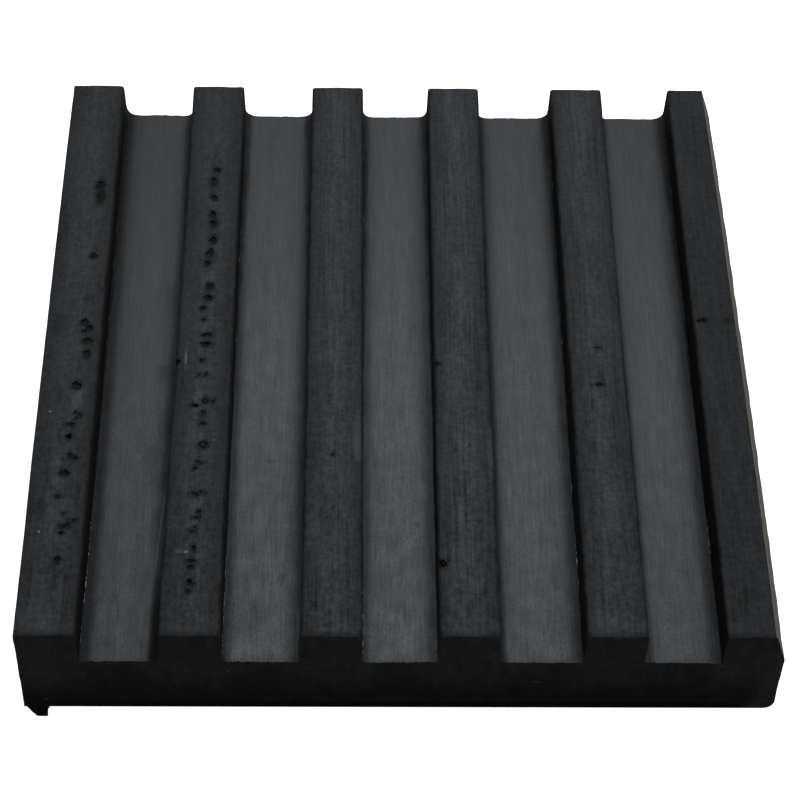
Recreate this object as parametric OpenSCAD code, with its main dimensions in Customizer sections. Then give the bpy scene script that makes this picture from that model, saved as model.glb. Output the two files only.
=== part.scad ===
// Ribbed rubber anti-vibration pad, cut from a wider ribbed sheet.
// All sizes are in millimetres. +X runs across the ribs, +Y along them and +Z up.
// The origin is the middle of the underside.

/* [Pad] */
// Width along the front, from the left top edge to the widest line of the right side
pad_w = 100.7; // [60:0.1:160]
// Length along the ribs
pad_l = 100; // [40:0.5:200]
// Height from the underside to the rib tops
pad_h = 17.8; // [14:0.1:30]

/* [Ribs] */
// Distance between the centre lines of neighbouring ribs
rib_pitch = 18.5; // [15:0.1:26]
// Width of a whole rib across its top
rib_w = 7.9; // [5:0.1:10]
// Width left of the first rib, which the left cut runs through
first_rib_w = 7.8; // [5:0.05:9]
// Distance of the second rib's centre line from the left top edge
second_rib_x = 22.55; // [20:0.05:24]
// Sideways drift of the fourth rib from the even pitch
rib_4_drift = -0.5; // [-1:0.05:1]
// Sideways drift of the fifth rib from the even pitch
rib_5_drift = 0.2; // [-1:0.05:1]

/* [Grooves] */
// Depth of the grooves below the rib tops
groove_d = 6.4; // [4:0.1:8]
// How far each groove wall leans in from the rib top to the groove floor
wall_draft = 0.1; // [0.05:0.05:0.6]
// Radius where a groove wall runs into the groove floor
root_r = 0.4; // [0.2:0.1:1.2]
// Radius along the top edges of the ribs
rib_edge_r = 0.5; // [0.1:0.05:0.8]

/* [Cut sides] */
// How far the left side leans out from the rib top to the underside
left_lean = 0.45; // [0.1:0.05:1.5]
// How far the right cut has run in from square at the back
right_skew = 0.8; // [0:0.1:3]
// Width of the bevel along the right side
bevel_w = 1.8; // [0.5:0.1:2.5]
// Height of the bevel along the right side
bevel_h = 5.7; // [3:0.1:8]
// How far the right side leans out below its bevel
right_lean = 0.25; // [0.05:0.05:1]
// Radius along the lower edge of the right side
foot_r = 1.4; // [0.3:0.1:2]

/* [Front face] */
// Height of the fine scored line across the front face
score_z = 2.4; // [1.5:0.1:4]
// Depth of the scored line
score_d = 0.15; // [0.05:0.05:0.4]
// Width of the scored line at the surface
score_w = 0.25; // [0.1:0.05:0.6]

/* [Corner nib] */
// How far the nib of torn rubber sticks out from the front left corner
nib_reach = 1.7; // [0.5:0.1:3]
// Height at which the nib leaves the front face
nib_h = 2.2; // [1:0.1:3]
// Width of the nib where it leaves the front face
nib_root_w = 3.9; // [3:0.1:6]
// Setback of the nib from the left side
nib_setback = 0.05; // [0.05:0.05:0.5]
// Width of the nib at its tip
nib_tip_w = 1.4; // [0.5:0.1:2]
// Setback of the tip from the nib's right end
nib_tip_inset = 0.6; // [0.2:0.1:0.9]

/* [Hidden] */
$fn = 96;
// How far a cutter runs past the surface that it opens
over = 1;
// How far an arc runs past its tangent points, so that it crosses both sides cleanly
skim = 0.002;
groove_floor_z = pad_h - groove_d;
left_x = -pad_w / 2;
right_x = pad_w / 2;
left_foot_x = left_x - left_lean;
right_foot_x = right_x + right_lean;
last_rib_right_x = right_x - bevel_w;
bevel_foot_z = pad_h - bevel_h;
front_y = -pad_l / 2;

function unit(v) = v / norm(v);

// Ribs are counted from the left, starting at 1
function rib_drift(k) = k == 4 ? rib_4_drift : k == 5 ? rib_5_drift : 0;
function rib_centre(k) = left_x + second_rib_x + (k - 2) * rib_pitch + rib_drift(k);
function rib_left(k) = rib_centre(k) - rib_w / 2;
function rib_right(k) = k == 1 ? left_x + first_rib_w : rib_centre(k) + rib_w / 2;

// The ribs and grooves run on to the right cut, wherever it falls
groove_count = 2 + floor((last_rib_right_x - rib_right(2)) / rib_pitch);

// The sliver between a corner and the arc of radius r that runs into both its sides
module corner_sliver(corner, on_side_a, on_side_b, r) {
    side_a = unit(on_side_a - corner);
    side_b = unit(on_side_b - corner);
    half_angle = acos(side_a * side_b) / 2;
    tangent_l = r / tan(half_angle);
    difference() {
        polygon([corner, corner + tangent_l * side_a, corner + tangent_l * side_b]);
        translate(corner + r / sin(half_angle) * unit(side_a + side_b))
            circle(r + skim);
    }
}

// Outline of the sheet before its grooves are moulded. It runs on past the underside and the
// right side, which left_of_right_cut() trims
module sheet_section() {
    lean_per_mm = left_lean / pad_h;
    polygon([
        [left_x, pad_h],
        [left_foot_x - over * lean_per_mm, -over],
        [right_foot_x + over, -over],
        [right_foot_x + over, pad_h]
    ]);
}

// What the right cut leaves: a bevel, a side that leans out and a rounded lower edge
module right_side_section() {
    foot = [right_foot_x, 0];
    bevel_foot = [right_x, bevel_foot_z];
    bevel_per_mm = bevel_w / bevel_h;
    difference() {
        polygon([
            [left_foot_x - over, 0],
            foot,
            bevel_foot,
            [last_rib_right_x - over * bevel_per_mm, pad_h + over],
            [left_foot_x - over, pad_h + over]
        ]);
        corner_sliver(foot, [left_foot_x, 0], bevel_foot, foot_r);
    }
}

// Space between two ribs: drafted walls, filleted roots and rounded rib edges
module groove_section(from_x, to_x) {
    edge_a = [from_x, pad_h];
    edge_b = [to_x, pad_h];
    root_a = [from_x + wall_draft, groove_floor_z];
    root_b = [to_x - wall_draft, groove_floor_z];
    difference() {
        polygon([[from_x, pad_h + over], edge_a, root_a, root_b, edge_b, [to_x, pad_h + over]]);
        corner_sliver(root_a, edge_a, root_b, root_r);
        corner_sliver(root_b, root_a, edge_b, root_r);
    }
    corner_sliver(edge_a, [left_x, pad_h], root_a, rib_edge_r);
    corner_sliver(edge_b, root_b, [right_x, pad_h], rib_edge_r);
}

module rib_section() {
    difference() {
        sheet_section();
        for (k = [1:groove_count])
            groove_section(rib_right(k), rib_left(k + 1));
    }
}

// Fine V-shaped line across the whole front face
module score_line() {
    translate([0, front_y, score_z])
        rotate([90, 0, 90])
        linear_extrude(height = pad_w + 2 * (left_lean + right_lean) + 2 * over, center = true)
        polygon([
            [-over, score_w / 2],
            [0, score_w / 2],
            [score_d, 0],
            [0, -score_w / 2],
            [-over, -score_w / 2]
        ]);
}

// Nib of torn rubber that lies on the ground in front of the left corner
module corner_nib() {
    root_from_x = left_foot_x + left_lean * nib_h / pad_h + nib_setback;
    root_to_x = root_from_x + nib_root_w;
    tip_to_x = root_to_x - nib_tip_inset;
    intersection() {
        linear_extrude(height = nib_h)
            polygon([
                [root_from_x, front_y + over],
                [root_from_x, front_y],
                [tip_to_x - nib_tip_w, front_y - nib_reach],
                [tip_to_x, front_y - nib_reach],
                [root_to_x, front_y],
                [root_to_x, front_y + over]
            ]);
        translate([root_from_x + nib_root_w / 2, front_y, 0])
            rotate([90, 0, 90])
            linear_extrude(height = nib_root_w + 2 * over, center = true)
            polygon([[-nib_reach, 0], [0, nib_h], [over, nib_h], [over, 0]]);
    }
}

// Space above the underside and left of the right cut, which turns about the front right corner
module left_of_right_cut() {
    translate([right_x, front_y, 0])
        rotate([0, 0, asin(right_skew / pad_l)])
        translate([-right_x, pad_l / 2, 0])
        rotate([90, 0, 0])
        linear_extrude(height = pad_l + 4 * over, center = true)
        right_side_section();
}

module ribbed_pad() {
    color([0.12, 0.12, 0.13]) {
        difference() {
            intersection() {
                rotate([90, 0, 0])
                    linear_extrude(height = pad_l, center = true)
                    rib_section();
                left_of_right_cut();
            }
            score_line();
        }
        corner_nib();
    }
}

ribbed_pad();
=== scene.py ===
"""Looks of the ribbed rubber anti-vibration pad, in the frame of its CAD solid."""

import math
import random

import bmesh
import bpy
from mathutils import Matrix, Vector, noise
from mathutils.geometry import delaunay_2d_cdt
from mathutils.kdtree import KDTree


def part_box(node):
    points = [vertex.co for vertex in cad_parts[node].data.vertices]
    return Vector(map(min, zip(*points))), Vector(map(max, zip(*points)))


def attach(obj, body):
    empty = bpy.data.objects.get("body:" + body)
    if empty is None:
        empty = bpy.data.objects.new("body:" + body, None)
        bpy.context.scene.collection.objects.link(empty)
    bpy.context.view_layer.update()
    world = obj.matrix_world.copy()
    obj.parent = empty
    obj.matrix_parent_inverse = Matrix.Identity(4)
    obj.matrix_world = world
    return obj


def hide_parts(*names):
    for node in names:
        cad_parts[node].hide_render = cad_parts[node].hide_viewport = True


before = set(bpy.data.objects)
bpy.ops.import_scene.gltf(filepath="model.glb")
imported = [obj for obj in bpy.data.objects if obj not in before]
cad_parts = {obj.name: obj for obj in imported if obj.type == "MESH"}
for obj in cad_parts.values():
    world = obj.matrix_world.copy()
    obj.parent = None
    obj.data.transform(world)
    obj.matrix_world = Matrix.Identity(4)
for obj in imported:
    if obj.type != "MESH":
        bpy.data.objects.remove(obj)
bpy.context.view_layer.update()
node_low, node_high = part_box("ribbed_pad")

# Sizes are in millimetres, in the CAD frame: +X across the ribs, +Y along them, +Z up
MM = 0.001
PAD_H = node_high.z / MM
BACK_Y = node_high.y / MM
FRONT_Y = -BACK_Y
LEFT_FOOT_X = node_low.x / MM

# Section across the ribs
PAD_W = 100.7
RIB_PITCH = 18.5
RIB_W = 7.9
FIRST_RIB_W = 7.8
SECOND_RIB_X = 22.55
RIB_DRIFT = {4: -0.5, 5: 0.2}
GROOVE_COUNT = 5
GROOVE_D = 6.4
WALL_DRAFT = 0.1
# Radius where a groove wall runs into its floor, away from the ends
ROOT_R = 0.15
# How it spreads at the ends: (radius at the front, its reach from there, radius at the back)
ROOT_SPREAD = {
    (1, "left"): (0.2, 6, 1.9), (1, "right"): (1.8, 18, 1.7), (2, "left"): (1.0, 6, 1.7),
    (2, "right"): (0.8, 6, 1.6), (3, "left"): (0.7, 6, 1.5), (3, "right"): (0.3, 6, 1.5),
    (4, "left"): (0.3, 6, 1.5), (4, "right"): (0.3, 6, 1.6), (5, "left"): (0.2, 6, 1.6),
    (5, "right"): (0.3, 6, 1.8),
}
# The spread to the back starts here
ROOT_SPREAD_Y = -10
RIB_EDGE_R = 0.5
BEVEL_W = 1.8
BEVEL_H = 5.7
CUT_EDGE_R = 0.12
FOOT_R = 1.4
RIGHT_LEAN = 0.25
LEFT_X = -PAD_W / 2
RIGHT_X = PAD_W / 2
RIGHT_FOOT_X = RIGHT_X + RIGHT_LEAN
# The right cut runs in towards the back, and bows out a little on the way
RIGHT_SKEW = 0.8
RIGHT_BOW = 0.2
# The left cut bows out too
LEFT_BOW = 0.1
GROOVE_FLOOR_Z = PAD_H - GROOVE_D

# The fine scored line across the front face
SCORE_Z = 2.4
SCORE_D = 0.15
SCORE_W = 0.25
# It grows clear between these places on X. Left of them it is faint, and it fades in by the nib
SCORE_CLEAR_X = (12, 22)
SCORE_FADE_L = 4
SCORE_FAINT_SHARE = 0.25
# The mean share of its depth, and how that wanders
SCORE_SHARE = 0.85
SCORE_WANDER = ((0.15, 4.0),)

# The nib of torn rubber at the front left corner
NIB_REACH = 1.7
NIB_H = 2.2
NIB_ROOT_W = 3.9
NIB_SETBACK = 0.05
NIB_TIP_W = 1.4
NIB_TIP_INSET = 0.6
NIB_TIP_H = 0.3
# Its right side runs into the front face in a small fillet
NIB_FILLET = 0.7
# How far out the rows of its mesh stand, how many steps each has, and how steeply it falls off
NIB_ROWS = (-1.0, 0.0, 0.08, 0.2, 0.35, 0.5, 0.7, 0.95, 1.2, 1.45, NIB_REACH)
NIB_STEPS = 10
NIB_SLOPE = 2.2
# Over this distance it turns from a clean root into a rough lump with round sides
NIB_ROUGH_FROM = 0.6
NIB_ROUND_SHARE = 0.3
# Its roughness sideways and upwards: (height, waves per mm)
NIB_ROUGH_SIDE = (0.1, 1.1)
NIB_ROUGH_TOP = (0.2, 0.9)
NIB_LEAST_H = 0.05

# The front face spreads a little at its foot
FLARE = 0.2
FLARE_H = 1.8

# The lip of flash where a groove wall meets its root, and the wandering share of its rise
LIP_W = 0.14
LIP_RISE = 0.06
LIP_SHARE = 0.6
LIP_WANDER = ((0.8, 0.9),)

# Spacing of the mesh
ROW_STEP = 0.48
# Distances of the first rows from an end, where they are denser
END_ROWS = (0.0, 0.25, 0.6)
TOP_STEP = 0.8
# Ribs that are pitted along their whole length have a finer mesh on top
VOIDED_RIBS = (1, 2)
VOID_TOP_STEP = 0.4
GROOVE_STEP = 0.6
WALL_STEP = 1.4
SIDE_STEP = 0.9
FOOT_EDGE_STEP = 1.0
CAP_STEP = 0.8
# How far the points inside a cap stay from its edges and from the scored line
CAP_MARGIN = 0.55 * CAP_STEP
CAP_RIGHT_MARGIN = 0.2
SCORE_MARGIN = 0.2
UNDERSIDE_STEP = 5.0
UNDERSIDE_MARGIN = 1.0
# Steps in the arcs of the section
ROOT_STEPS = 5
RIB_EDGE_STEPS = 4
CUT_EDGE_STEPS = 2
FOOT_STEPS = 5

# Wander of the cut and moulded edges: (height, length of its waves)
EDGE_WANDER = ((0.035, 14.0), (0.012, 2.5))
# Relief of each kind of surface: (height, wave across, wave along)
RELIEF = {
    "top": ((0.035, 2.8, 2.8), (0.015, 1.0, 1.0)),
    "groove": ((0.03, 5.0, 6.0), (0.012, 1.2, 12.0)),
    "cut": ((0.04, 3.0, 3.0), (0.015, 1.2, 1.2)),
}
# Raggedness of the cut edges at the front and back: (height, length of its waves)
RAGGED_GROOVE = ((0.04, 2.5), (0.06, 0.9))
RAGGED_TOP = ((0.05, 2.5),)
# How far in from an end its ragged edge fades out
RAGGED_REACH = 1.0
# Relief stops this far below the rib tops at the sides, and fades out over this height at the
# foot of the front and back
SIDE_RELIEF_MARGIN = 1.0
CAP_RELIEF_FADE = 3.0
# Seeds of the smooth noise, one for each thing that it shapes
SEEDS = {
    "top": 3.1, "groove": 7.7, "left side": 5.3, "right side": 9.9, "lip": 1.9,
    "front edge": 21.0, "back edge": 31.0, "score": 51.0, "first long edge": 40.0,
}
LONG_EDGE_SEED_STEP = 3.0

# Material index of each kind of surface
TOP, WALL, LIP, GROOVE, BEVEL, CUT, PIT, UNDERSIDE = range(8)


def rib_centre(k):
    return LEFT_X + SECOND_RIB_X + (k - 2) * RIB_PITCH + RIB_DRIFT.get(k, 0)


def rib_left(k):
    return rib_centre(k) - RIB_W / 2


def rib_right(k):
    return LEFT_X + FIRST_RIB_W if k == 1 else rib_centre(k) + RIB_W / 2


def top_centre(k):
    """The middle of a rib's top; the first rib is cut short."""
    return (LEFT_X + rib_right(k)) / 2 if k == 1 else rib_centre(k)


def rib_centre_near(x):
    return min((rib_centre(k) for k in range(1, GROOVE_COUNT + 2)), key=lambda c: abs(c - x))


# ---- section

def root_radius(groove, side, y):
    """Radius of a groove's left or right root at y."""
    at_front, reach, at_back = ROOT_SPREAD[groove, side]
    front = max(1 - (y - FRONT_Y) / reach, 0)
    back = max((y - ROOT_SPREAD_Y) / (BACK_Y - ROOT_SPREAD_Y), 0)
    return ROOT_R + (at_front - ROOT_R) * front + (at_back - ROOT_R) * back


def outline_corners(y):
    """Corners of the section at y, from the left foot over the ribs to the right foot.

    Each is (point, radius, steps in its arc, surface of the arc, surface after it, step after it).
    """
    corners = [
        (Vector((LEFT_FOOT_X, 0)), 0, 0, CUT, CUT, SIDE_STEP),
        (Vector((LEFT_X, PAD_H)), CUT_EDGE_R, CUT_EDGE_STEPS, TOP, TOP, VOID_TOP_STEP),
    ]
    for k in range(1, GROOVE_COUNT + 1):
        from_x, to_x = rib_right(k), rib_left(k + 1)
        top_step = VOID_TOP_STEP if k + 1 in VOIDED_RIBS else TOP_STEP
        corners += [
            (Vector((from_x, PAD_H)), RIB_EDGE_R, RIB_EDGE_STEPS, TOP, WALL, WALL_STEP),
            (Vector((from_x + WALL_DRAFT, GROOVE_FLOOR_Z)), root_radius(k, "left", y), ROOT_STEPS,
             GROOVE, GROOVE, GROOVE_STEP),
            (Vector((to_x - WALL_DRAFT, GROOVE_FLOOR_Z)), root_radius(k, "right", y), ROOT_STEPS,
             GROOVE, WALL, WALL_STEP),
            (Vector((to_x, PAD_H)), RIB_EDGE_R, RIB_EDGE_STEPS, TOP, TOP, top_step),
        ]
    corners += [
        (Vector((RIGHT_X - BEVEL_W, PAD_H)), CUT_EDGE_R, CUT_EDGE_STEPS, BEVEL, BEVEL, WALL_STEP),
        (Vector((RIGHT_X, PAD_H - BEVEL_H)), CUT_EDGE_R, CUT_EDGE_STEPS, BEVEL, CUT, SIDE_STEP),
        (Vector((RIGHT_FOOT_X, 0)), FOOT_R, FOOT_STEPS, CUT, None, None),
    ]
    return corners


def rounded(corner, before, after, radius, steps):
    """Points of the arc that rounds a corner between its two neighbours."""
    if not radius:
        return [corner]
    side_a = (before - corner).normalized()
    side_b = (after - corner).normalized()
    half = side_a.angle(side_b) / 2
    centre = corner + (side_a + side_b).normalized() * radius / math.sin(half)
    start = corner + side_a * radius / math.tan(half) - centre
    sweep = math.pi - 2 * half
    turn = -1 if side_a.x * side_b.y - side_a.y * side_b.x > 0 else 1
    points = []
    for i in range(steps + 1):
        a = turn * sweep * i / steps
        points.append(centre + Vector((
            start.x * math.cos(a) - start.y * math.sin(a),
            start.x * math.sin(a) + start.y * math.cos(a))))
    return points


def section(y):
    """The points of the section at y, and the surface between each point and the next."""
    corners = outline_corners(y)
    points, surfaces = [], []
    for i, (corner, radius, steps, arc_surface, after_surface, _) in enumerate(corners):
        before = corners[i - 1][0] if i else corner + Vector((1, 0))
        after = corners[i + 1][0] if i + 1 < len(corners) else Vector((LEFT_FOOT_X, 0))
        arc = rounded(corner, before, after, radius, steps)
        arc_surfaces = [arc_surface] * (len(arc) - 1)
        if arc_surface == GROOVE and after_surface == GROOVE:
            up = (before - corner).normalized()
            arc = [arc[0] + up * LIP_W, arc[0] + up * LIP_W / 2] + arc
            arc_surfaces = [LIP, LIP] + arc_surfaces
        elif arc_surface == GROOVE:
            up = (after - corner).normalized()
            arc = arc + [arc[-1] + up * LIP_W / 2, arc[-1] + up * LIP_W]
            arc_surfaces = arc_surfaces + [LIP, LIP]
        if points:
            last_corner, _, _, _, surface, step = corners[i - 1]
            start, run = points[-1], arc[0] - points[-1]
            count = max(1, round((corner - last_corner).length / step))
            for n in range(1, count):
                points.append(start + run * n / count)
                surfaces.append(surface)
            surfaces.append(surface)
        points += arc
        surfaces += arc_surfaces
    return points, surfaces


# ---- mesh

def share_between(value, low, high):
    """How far a value has come on its way from low to high, from 0 to 1."""
    return min(max((value - low) / (high - low), 0), 1)


def even(terms):
    """Waves that are as long across as along, from their heights and lengths."""
    return [(height, length, length) for height, length in terms]


def waves(terms, x, y, seed):
    """Smooth noise: a sum of waves, each given by its height and its length across and along."""
    total = 0.0
    for height, across, along in terms:
        total += height * 2 * noise.noise(Vector((x / across, y / along, seed + across)))
    return total


def edge_lines():
    """Where the edges that wander sideways stand."""
    lines = [LEFT_X]
    for k in range(1, GROOVE_COUNT + 1):
        lines += [rib_right(k), rib_left(k + 1)]
    return lines + [RIGHT_X - BEVEL_W]


def sideways(lines, shifts, x):
    """Sideways shift at x, blended between the two edges beside it."""
    if x <= lines[0]:
        return shifts[0]
    for n in range(len(lines) - 1):
        if x <= lines[n + 1]:
            t = (x - lines[n]) / (lines[n + 1] - lines[n])
            return shifts[n] + (shifts[n + 1] - shifts[n]) * t
    return shifts[-1]


def row_places():
    """Distances of the rows from the front, closer together at both ends."""
    length = BACK_Y - FRONT_Y
    inner = round((length - 2 * RAGGED_REACH) / ROW_STEP)
    return ([*END_ROWS]
            + [RAGGED_REACH + (length - 2 * RAGGED_REACH) * n / inner for n in range(inner + 1)]
            + [length - place for place in reversed(END_ROWS)])


def kind_of_points(surfaces):
    """For each point of the section, the surface that shapes it."""
    kinds = []
    for i in range(len(surfaces) + 1):
        beside = {surfaces[max(i - 1, 0)], surfaces[min(i, len(surfaces) - 1)]}
        if beside == {LIP}:
            kinds.append(LIP)
        elif WALL in beside or LIP in beside:
            kinds.append(WALL)
        elif GROOVE in beside:
            kinds.append(GROOVE)
        elif CUT in beside or BEVEL in beside:
            kinds.append(CUT)
        else:
            kinds.append(TOP)
    return kinds


def shaped(p, kind, y, lines, shifts):
    """A point of the section at y, with the wander and relief of real rubber."""
    x, z = p.x + sideways(lines, shifts, p.x), p.y
    if kind == TOP:
        z += waves(RELIEF["top"], x, y, SEEDS["top"])
    elif kind == GROOVE:
        z += waves(RELIEF["groove"], x, y, SEEDS["groove"])
    elif kind == CUT and 0 < z < PAD_H - SIDE_RELIEF_MARGIN:
        x += waves(RELIEF["cut"], z, y, SEEDS["left side" if x < 0 else "right side"])
    elif kind == LIP:
        rise = LIP_RISE * (LIP_SHARE + waves(even(LIP_WANDER), x, y, SEEDS["lip"]))
        x += rise if p.x - rib_centre_near(p.x) > 0 else -rise
        z += rise / 2
    ragged = RAGGED_TOP if kind == TOP else RAGGED_GROOVE if kind == GROOVE else ()
    for end, inward, name in ((FRONT_Y, 1, "front edge"), (BACK_Y, -1, "back edge")):
        fade = 1 - abs(y - end) / RAGGED_REACH
        if fade > 0:
            y += inward * fade * waves(even(ragged), x, 0, SEEDS[name])
    return Vector((x, y, max(z, 0)))


def build_pad():
    """The pad without its nib, voids and chips: rows of the section, two caps and an underside."""
    _, surfaces = section(FRONT_Y)
    kinds = kind_of_points(surfaces)
    lines = edge_lines()
    bm = bmesh.new()
    grid = []
    for place in row_places():
        y = FRONT_Y + place
        shifts = [waves(even(EDGE_WANDER), 0, y, SEEDS["first long edge"] + LONG_EDGE_SEED_STEP * n)
                  for n in range(len(lines))]
        back = place / (BACK_Y - FRONT_Y)
        bow = 4 * back * (1 - back)
        shifts[0] -= LEFT_BOW * bow
        shifts[-1] += RIGHT_BOW * bow - RIGHT_SKEW * back
        points, _ = section(y)
        grid.append([bm.verts.new(shaped(p, kind, y, lines, shifts))
                     for p, kind in zip(points, kinds)])
    for row, next_row in zip(grid, grid[1:]):
        for i, surface in enumerate(surfaces):
            face = bm.faces.new((row[i], next_row[i], next_row[i + 1], row[i + 1]))
            face.material_index = surface
    foot_count = round((RIGHT_FOOT_X - LEFT_FOOT_X) / FOOT_EDGE_STEP)
    feet = []
    for row in (grid[0], grid[-1]):
        start, end = row[0].co, row[-1].co
        feet.append([bm.verts.new(start.lerp(end, k / foot_count)) for k in range(1, foot_count)])
    add_cap(bm, grid[0], feet[0], FRONT_Y, 1)
    add_cap(bm, grid[-1], feet[1], BACK_Y, -1)
    add_underside(bm, [row[0] for row in grid], [row[-1] for row in grid], feet)
    bmesh.ops.recalc_face_normals(bm, faces=bm.faces)
    mesh = bpy.data.meshes.new("ribbed_pad_rubber")
    bm.to_mesh(mesh)
    bm.free()
    return mesh


def fill(bm, loop, inner, flat, surface):
    """Triangulates the space inside a loop of vertices, by way of the inner ones."""
    verts = loop + inner
    outline = [list(reversed(range(len(loop))))]
    _, _, triangles, sources, _, insides = delaunay_2d_cdt(
        [flat(v.co) for v in verts], [], outline, 0, 1e-6, True)
    for triangle, inside in zip(triangles, insides):
        if inside:
            face = bm.faces.new([verts[sources[k][0]] for k in triangle])
            face.material_index = surface


def height_at(top, x):
    """Height of the section's upper side at x."""
    for a, b in zip(top, top[1:]):
        if a.co.x <= x <= b.co.x:
            t = (x - a.co.x) / max(b.co.x - a.co.x, 1e-9)
            return a.co.z + (b.co.z - a.co.z) * t
    return 0


def score_depth(x):
    """Depth of the scored line, which is clear towards the right and faint elsewhere."""
    clear = share_between(x, *SCORE_CLEAR_X)
    nib_to_x = LEFT_FOOT_X + NIB_ROOT_W
    faint = share_between(x, nib_to_x, nib_to_x + SCORE_FADE_L)
    depth = SCORE_D * (SCORE_FAINT_SHARE * faint + (1 - SCORE_FAINT_SHARE) * clear)
    return depth * (SCORE_SHARE + waves(even(SCORE_WANDER), x, 0, SEEDS["score"]))


def add_cap(bm, top, foot, y, inward):
    """Closes an end of the pad; the front one carries the scored line."""
    inner = []
    scored = inward > 0
    x = LEFT_FOOT_X + CAP_MARGIN
    while x < RIGHT_FOOT_X - CAP_RIGHT_MARGIN:
        ceiling = min(height_at(top, x + d) for d in (-CAP_MARGIN, 0, CAP_MARGIN)) - CAP_MARGIN
        z = CAP_MARGIN
        while z < ceiling:
            if not scored or abs(z - SCORE_Z) > SCORE_W / 2 + SCORE_MARGIN:
                relief = waves(RELIEF["cut"], x, z, y) * min(z / CAP_RELIEF_FADE, 1)
                inner.append(bm.verts.new((x, y + relief, z)))
            z += CAP_STEP
        if scored and ceiling > SCORE_Z + SCORE_W:
            for rise, share in ((-SCORE_W / 2, 0), (0, 1), (SCORE_W / 2, 0)):
                inner.append(bm.verts.new((x, y + score_depth(x) * share, SCORE_Z + rise)))
        x += CAP_STEP
    if scored:
        for v in top + foot + inner:
            v.co.y -= FLARE * max(1 - v.co.z / FLARE_H, 0)
    fill(bm, top + foot[::-1], inner, lambda co: Vector((co.x, co.z)), CUT)


def add_underside(bm, left, right, feet):
    """Closes the flat underside between the feet of the sides and of the caps."""
    inner = []
    x = LEFT_FOOT_X + UNDERSIDE_STEP
    while x < RIGHT_FOOT_X - UNDERSIDE_MARGIN:
        y = FRONT_Y + UNDERSIDE_STEP
        while y < BACK_Y - UNDERSIDE_MARGIN:
            inner.append(bm.verts.new((x, y, 0)))
            y += UNDERSIDE_STEP
        x += UNDERSIDE_STEP
    loop = left + feet[1] + right[::-1] + feet[0][::-1]
    fill(bm, loop, inner, lambda co: Vector((co.x, co.y)), UNDERSIDE)


# ---- voids, chips and nib

# Voids in the top of each rib: (offset from its middle, distance from the front, width across,
# length along), and a turn in degrees if they have one
VOIDS = {
    1: (
        (1.75, 79, 1, 1.5), (1.9, 76.5, 1, 2.4), (1.74, 64.9, 0.9, 0.9), (1.4, 52.3, 1, 1.1),
        (2.1, 51.3, 0.9, 1, 30), (1.5, 50.6, 0.6, 0.7), (2.07, 48.9, 1.2, 1), (2.1, 46.5, 0.9, 1.3),
        (1.1, 40.8, 1.1, 1.3, 20), (1.3, 36.1, 0.5, 0.5), (1.9, 35.8, 0.6, 0.4), (1.6, 35.2, 0.4, 0.4),
        (0.85, 34, 0.9, 0.5), (0.74, 31.9, 0.8, 0.8), (1.2, 28.7, 0.7, 0.8), (1.9, 28.3, 0.7, 0.7),
        (0.08, 21.9, 0.7, 0.6), (1.1, 19.1, 0.3, 0.3), (1.4, 17.1, 1.2, 0.5, 30),
        (2.5, 18, 0.8, 0.35, 35), (0.96, 16, 0.6, 0.4, 15), (0.92, 11.7, 0.8, 0.9),
        (0.69, 25.8, 1.15, 1.1),
    ),
    2: (
        (0.4, 82.2, 0.9, 0.9), (0.03, 79.8, 0.9, 1.7), (0.3, 76.5, 0.9, 0.9), (0.1, 73.3, 0.8, 1.2),
        (0.3, 71.4, 0.9, 1.2), (0.4, 68.2, 1, 1.5), (0.1, 65.7, 1, 1.2), (-0.2, 63.6, 0.8, 1),
        (0.3, 59.2, 1, 1.2), (0.15, 57, 1.2, 1), (-0.53, 55.1, 0.7, 0.7), (-0.28, 52.9, 0.5, 0.5),
        (0.26, 50.1, 1.2, 0.7, 10), (0.2, 48.4, 1.3, 0.9), (-0.31, 45.4, 0.6, 0.6),
        (-3.75, 45.2, 0.8, 0.9), (-0.55, 42.9, 0.4, 0.4), (0.45, 42.9, 0.5, 0.5),
        (-0.85, 37.4, 0.9, 0.5), (1.62, 38.1, 0.4, 0.4), (0.3, 36.1, 0.6, 0.9), (0.4, 34.3, 0.8, 0.6),
        (0, 27.8, 0.4, 0.4), (0.5, 27.6, 0.4, 0.4), (-0.4, 26.7, 0.5, 0.5), (-0.4, 22.5, 0.5, 0.4),
        (0.1, 22.3, 0.6, 0.7), (0.6, 22.7, 0.5, 0.4, 20), (0.45, 19.5, 0.6, 0.8, -30),
        (0.15, 18.5, 0.7, 0.45, 20), (0.7, 18.6, 0.35, 0.6), (0.1, 17, 0.4, 0.3),
        (-0.35, 16.3, 0.6, 0.35, 25), (0.05, 13.7, 0.5, 0.7, -25), (0.25, 13.2, 0.35, 0.4),
        (-0.2, 11.6, 1, 0.6), (-0.27, 10.6, 0.7, 0.7), (-0.3, 8.3, 0.6, 0.7), (0.15, 8, 0.6, 0.4, 20),
        (-0.3, 6.9, 0.6, 0.5), (0.5, 38.3, 1, 1), (0.56, 30.7, 1.3, 1.3),
    ),
    3: ((-0.12, 29.1, 0.4, 0.4),),
    4: ((-3.43, 45.1, 0.5, 0.5), (-3.41, 11.3, 1.0, 0.9)),
    5: ((0.24, 48.2, 0.6, 0.4), (0.1, 41.5, 0.8, 0.6)),
    6: ((-2.72, 53.3, 1.2, 0.7), (1.03, 53.3, 0.4, 0.6)),
}
# Those with a stump left in their middle: (rib, distance from the front)
RING_VOIDS = {(2, 38.3), (2, 30.7)}
# The few that are deep and black
DEEP_VOIDS = {(1, 31.9), (1, 16.0), (2, 45.2), (2, 37.4), (2, 13.7), (2, 8.3), (4, 11.3)}
# Depth of a void against its smaller side
VOID_DEPTH = 0.26
DEEP_VOID_DEPTH = 0.6
# How far its middle lies below the rib top, against its depth
VOID_SINK = 0.12
# Opening of a void against the size of its dark patch
VOID_SHARE = 1.15
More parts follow.
